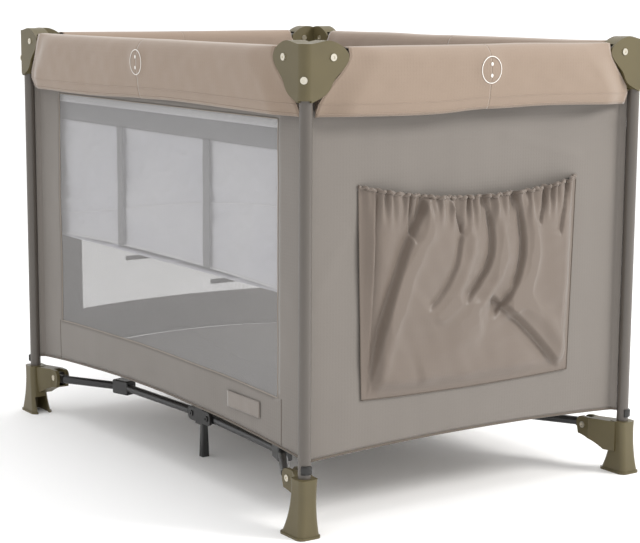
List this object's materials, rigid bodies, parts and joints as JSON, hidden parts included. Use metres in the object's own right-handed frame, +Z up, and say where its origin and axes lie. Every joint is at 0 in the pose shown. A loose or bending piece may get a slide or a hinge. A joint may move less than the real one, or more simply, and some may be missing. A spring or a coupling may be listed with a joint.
{
  "type": "travel play yard",
  "caption": "Folding travel play yard with corner posts, hinged top rails, mesh sides, folding base linkage, hanging bassinet, hinged mattress and an end pocket",
  "frame": {"origin": "on the floor at the middle of the four posts", "axes": "+Z up, X along the long side, Y along the short side, the pocket on the +X end"},
  "size_m": [1.006, 0.71, 0.7505],
  "materials": {
    "post_tube": "satin powder coat, taupe grey",
    "rail_tube": "satin powder coat, grey",
    "black_tube": "satin powder coat, black",
    "olive_moulding": "fine spark-eroded texture, olive khaki",
    "latch_moulding": "moulded, matt black",
    "button_moulding": "moulded, khaki",
    "grey_moulding": "moulded, light grey",
    "rivet": "bright rolled heads",
    "cover_fabric": "padded woven polyester, warm beige",
    "mesh_fabric": "knitted polyester mesh with woven borders, taupe",
    "pocket_fabric": "woven polyester, grey taupe",
    "floor_fabric": "woven polyester, dark taupe",
    "webbing": "woven webbing",
    "bassinet_fabric": "light grey woven polyester with grey bands",
    "mattress_fabric": "quilted light grey cover over board and foam"
  },
  "bodies": {
    "post_fr": {"post_fr": "post_tube", "bracket_fr": "olive_moulding", "foot_fr": "olive_moulding", "rivets_fr": "rivet", "panel_front": "mesh_fabric", "panel_right": "mesh_fabric", "pocket": "pocket_fabric", "cover_front": "cover_fabric", "cover_right": "cover_fabric"},
    "post_fl": {"post_fl": "post_tube", "bracket_fl": "olive_moulding", "foot_fl": "olive_moulding", "rivets_fl": "rivet", "panel_left": "mesh_fabric", "cover_left": "cover_fabric"},
    "post_br": {"post_br": "post_tube", "bracket_br": "olive_moulding", "foot_br": "olive_moulding", "rivets_br": "rivet", "panel_back": "mesh_fabric", "cover_back": "cover_fabric"},
    "post_bl": {"post_bl": "post_tube", "bracket_bl": "olive_moulding", "foot_bl": "olive_moulding", "rivets_bl": "rivet"},
    "mid_hub_front": {"mid_hub_front": "grey_moulding", "mid_leg_front": "black_tube"},
    "mid_hub_back": {"mid_hub_back": "grey_moulding", "mid_leg_back": "black_tube"},
    "arm_front": {"arm_front": "black_tube"},
    "arm_back": {"arm_back": "black_tube"},
    "centre_hub": {"centre_hub": "grey_moulding", "pull_handle": "webbing", "floor_sheet": "floor_fabric"},
    "bassinet": {"bassinet": "bassinet_fabric", "bassinet_rods": "rail_tube"},
    "tube_fr": {"tube_fr": "black_tube"},
    "tube_fl": {"tube_fl": "black_tube"},
    "tube_br": {"tube_br": "black_tube"},
    "tube_bl": {"tube_bl": "black_tube"},
    "rail_front_r": {"rail_front_r": "rail_tube"},
    "rail_front_l": {"rail_front_l": "rail_tube"},
    "rail_back_r": {"rail_back_r": "rail_tube"},
    "rail_back_l": {"rail_back_l": "rail_tube"},
    "rail_right_f": {"rail_right_f": "rail_tube"},
    "rail_right_b": {"rail_right_b": "rail_tube"},
    "rail_left_f": {"rail_left_f": "rail_tube"},
    "rail_left_b": {"rail_left_b": "rail_tube"},
    "latch_front": {"latch_front": "latch_moulding"},
    "button_front": {"button_front": "button_moulding"},
    "latch_back": {"latch_back": "latch_moulding"},
    "button_back": {"button_back": "button_moulding"},
    "latch_right": {"latch_right": "latch_moulding"},
    "button_right": {"button_right": "button_moulding"},
    "latch_left": {"latch_left": "latch_moulding"},
    "button_left": {"button_left": "button_moulding"},
    "mattress_1": {"mattress_1": "mattress_fabric"},
    "mattress_2": {"mattress_2": "mattress_fabric"},
    "mattress_3": {"mattress_3": "mattress_fabric"},
    "mattress_4": {"mattress_4": "mattress_fabric"}
  },
  "joints": [
    {"name": "frame_fold", "type": "hinge", "parent": "post_fr", "child": "tube_fr", "pos_m": [0.417, -0.309, 0.075], "axis": [0, 1, 0], "range_deg": [0, 85], "deforming": ["panel_front", "panel_back", "panel_left", "panel_right", "cover_front", "cover_back", "cover_left", "cover_right", "pocket", "floor_sheet", "bassinet", "bassinet_rods", "mattress_1", "mattress_2", "mattress_3", "mattress_4"]},
    {"name": "tube_fr_at_hub", "type": "hinge", "parent": "tube_fr", "child": "mid_hub_front", "pos_m": [0.026, -0.227, 0.075], "axis": [0, 1, 0], "range_deg": [-85, 0]},
    {"name": "tube_fl_at_hub", "type": "hinge", "parent": "mid_hub_front", "child": "tube_fl", "pos_m": [-0.026, -0.227, 0.075], "axis": [0, 1, 0], "range_deg": [-85, 0]},
    {"name": "post_fl_at_tube", "type": "hinge", "parent": "tube_fl", "child": "post_fl", "pos_m": [-0.417, -0.309, 0.075], "axis": [0, 1, 0], "range_deg": [0, 85]},
    {"name": "arm_front_at_hub", "type": "hinge", "parent": "mid_hub_front", "child": "arm_front", "pos_m": [0, -0.205, 0.075], "axis": [1, 0, 0], "range_deg": [0, 85]},
    {"name": "arm_front_at_centre", "type": "hinge", "parent": "arm_front", "child": "centre_hub", "pos_m": [0, -0.022, 0.075], "axis": [1, 0, 0], "range_deg": [-85, 0]},
    {"name": "arm_back_at_centre", "type": "hinge", "parent": "centre_hub", "child": "arm_back", "pos_m": [0, 0.022, 0.075], "axis": [1, 0, 0], "range_deg": [-85, 0]},
    {"name": "arm_back_at_hub", "type": "hinge", "parent": "arm_back", "child": "mid_hub_back", "pos_m": [0, 0.205, 0.075], "axis": [1, 0, 0], "range_deg": [0, 85]},
    {"name": "tube_br_at_hub", "type": "hinge", "parent": "mid_hub_back", "child": "tube_br", "pos_m": [0.026, 0.227, 0.075], "axis": [0, 1, 0], "range_deg": [0, 85]},
    {"name": "post_br_at_tube", "type": "hinge", "parent": "tube_br", "child": "post_br", "pos_m": [0.417, 0.309, 0.075], "axis": [0, 1, 0], "range_deg": [-85, 0]},
    {"name": "tube_bl_at_hub", "type": "hinge", "parent": "mid_hub_back", "child": "tube_bl", "pos_m": [-0.026, 0.227, 0.075], "axis": [0, 1, 0], "range_deg": [-85, 0]},
    {"name": "post_bl_at_tube", "type": "hinge", "parent": "tube_bl", "child": "post_bl", "pos_m": [-0.417, 0.309, 0.075], "axis": [0, 1, 0], "range_deg": [0, 85]},
    {"name": "rail_front_r_pivot", "type": "hinge", "parent": "post_fr", "child": "rail_front_r", "pos_m": [0.441, -0.331, 0.726], "axis": [0, 1, 0], "range_deg": [-85, 0]},
    {"name": "rail_front_l_pivot", "type": "hinge", "parent": "post_fl", "child": "rail_front_l", "pos_m": [-0.441, -0.331, 0.726], "axis": [0, 1, 0], "range_deg": [0, 85]},
    {"name": "rail_back_r_pivot", "type": "hinge", "parent": "post_br", "child": "rail_back_r", "pos_m": [0.441, 0.331, 0.726], "axis": [0, 1, 0], "range_deg": [-85, 0]},
    {"name": "rail_back_l_pivot", "type": "hinge", "parent": "post_bl", "child": "rail_back_l", "pos_m": [-0.441, 0.331, 0.726], "axis": [0, 1, 0], "range_deg": [0, 85]},
    {"name": "rail_right_f_pivot", "type": "hinge", "parent": "post_fr", "child": "rail_right_f", "pos_m": [0.479, -0.293, 0.726], "axis": [1, 0, 0], "range_deg": [-72.31, 0]},
    {"name": "rail_right_b_pivot", "type": "hinge", "parent": "post_br", "child": "rail_right_b", "pos_m": [0.479, 0.293, 0.726], "axis": [1, 0, 0], "range_deg": [0, 72.31]},
    {"name": "rail_left_f_pivot", "type": "hinge", "parent": "post_fl", "child": "rail_left_f", "pos_m": [-0.479, -0.293, 0.726], "axis": [1, 0, 0], "range_deg": [-72.31, 0]},
    {"name": "rail_left_b_pivot", "type": "hinge", "parent": "post_bl", "child": "rail_left_b", "pos_m": [-0.479, 0.293, 0.726], "axis": [1, 0, 0], "range_deg": [0, 72.31]},
    {"name": "latch_front_pivot", "type": "hinge", "parent": "rail_front_r", "child": "latch_front", "pos_m": [0.05, -0.331, 0.726], "axis": [0, 1, 0], "range_deg": [0, 85]},
    {"name": "latch_back_pivot", "type": "hinge", "parent": "rail_back_r", "child": "latch_back", "pos_m": [0.05, 0.331, 0.726], "axis": [0, 1, 0], "range_deg": [0, 85]},
    {"name": "latch_right_pivot", "type": "hinge", "parent": "rail_right_f", "child": "latch_right", "pos_m": [0.479, -0.05, 0.726], "axis": [1, 0, 0], "range_deg": [0, 72.31]},
    {"name": "latch_left_pivot", "type": "hinge", "parent": "rail_left_f", "child": "latch_left", "pos_m": [-0.479, -0.05, 0.726], "axis": [1, 0, 0], "range_deg": [0, 72.31]},
    {"name": "bassinet_settle", "type": "slide", "parent": "centre_hub", "child": "bassinet", "axis": [0, 0, 1], "range_m": [-0.148, 0]},
    {"name": "mattress_lift", "type": "slide", "parent": "bassinet", "child": "mattress_3", "axis": [0, 0, 1], "range_m": [0, 0.42]},
    {"name": "mattress_fold_right", "type": "hinge", "parent": "mattress_3", "child": "mattress_4", "pos_m": [0.22325, 0, 0.382], "axis": [0, 1, 0], "range_deg": [-180, 0]},
    {"name": "mattress_fold_middle", "type": "hinge", "parent": "mattress_3", "child": "mattress_2", "pos_m": [0, 0, 0.405], "axis": [0, 1, 0], "range_deg": [0, 180]},
    {"name": "mattress_fold_left", "type": "hinge", "parent": "mattress_2", "child": "mattress_1", "pos_m": [-0.22325, 0, 0.382], "axis": [0, 1, 0], "range_deg": [0, 180]},
    {"name": "button_front_press", "type": "slide", "parent": "latch_front", "child": "button_front", "axis": [0, 1, 0], "range_m": [0, 0.004], "stiffness_N_per_m": 600, "springref_m": -0.002},
    {"name": "button_back_press", "type": "slide", "parent": "latch_back", "child": "button_back", "axis": [0, -1, 0], "range_m": [0, 0.004], "stiffness_N_per_m": 600, "springref_m": -0.002},
    {"name": "button_right_press", "type": "slide", "parent": "latch_right", "child": "button_right", "axis": [-1, 0, 0], "range_m": [0, 0.004], "stiffness_N_per_m": 600, "springref_m": -0.002},
    {"name": "button_left_press", "type": "slide", "parent": "latch_left", "child": "button_left", "axis": [1, 0, 0], "range_m": [0, 0.004], "stiffness_N_per_m": 600, "springref_m": -0.002}
  ],
  "couplings": [
    {"joint": "tube_fr_at_hub", "follows": "frame_fold", "ratio": -1},
    {"joint": "tube_fl_at_hub", "follows": "frame_fold", "ratio": -1},
    {"joint": "post_fl_at_tube", "follows": "frame_fold", "ratio": 1},
    {"joint": "arm_front_at_hub", "follows": "frame_fold", "ratio": 1},
    {"joint": "arm_front_at_centre", "follows": "frame_fold", "ratio": -1},
    {"joint": "arm_back_at_centre", "follows": "frame_fold", "ratio": -1},
    {"joint": "arm_back_at_hub", "follows": "frame_fold", "ratio": 1},
    {"joint": "tube_br_at_hub", "follows": "frame_fold", "ratio": 1},
    {"joint": "post_br_at_tube", "follows": "frame_fold", "ratio": -1},
    {"joint": "tube_bl_at_hub", "follows": "frame_fold", "ratio": -1},
    {"joint": "post_bl_at_tube", "follows": "frame_fold", "ratio": 1},
    {"joint": "rail_front_r_pivot", "follows": "frame_fold", "ratio": -1},
    {"joint": "rail_front_l_pivot", "follows": "frame_fold", "ratio": 1},
    {"joint": "rail_back_r_pivot", "follows": "frame_fold", "ratio": -1},
    {"joint": "rail_back_l_pivot", "follows": "frame_fold", "ratio": 1},
    {"joint": "rail_right_f_pivot", "follows": "frame_fold", "ratio": -0.8484},
    {"joint": "rail_right_b_pivot", "follows": "frame_fold", "ratio": 0.8484},
    {"joint": "rail_left_f_pivot", "follows": "frame_fold", "ratio": -0.8484},
    {"joint": "rail_left_b_pivot", "follows": "frame_fold", "ratio": 0.8484},
    {"joint": "latch_front_pivot", "follows": "frame_fold", "ratio": 1},
    {"joint": "latch_back_pivot", "follows": "frame_fold", "ratio": 1},
    {"joint": "latch_right_pivot", "follows": "frame_fold", "ratio": 0.8484},
    {"joint": "latch_left_pivot", "follows": "frame_fold", "ratio": 0.8484},
    {"joint": "bassinet_settle", "follows": "frame_fold", "m_per_rad": -0.09909}
  ]
}
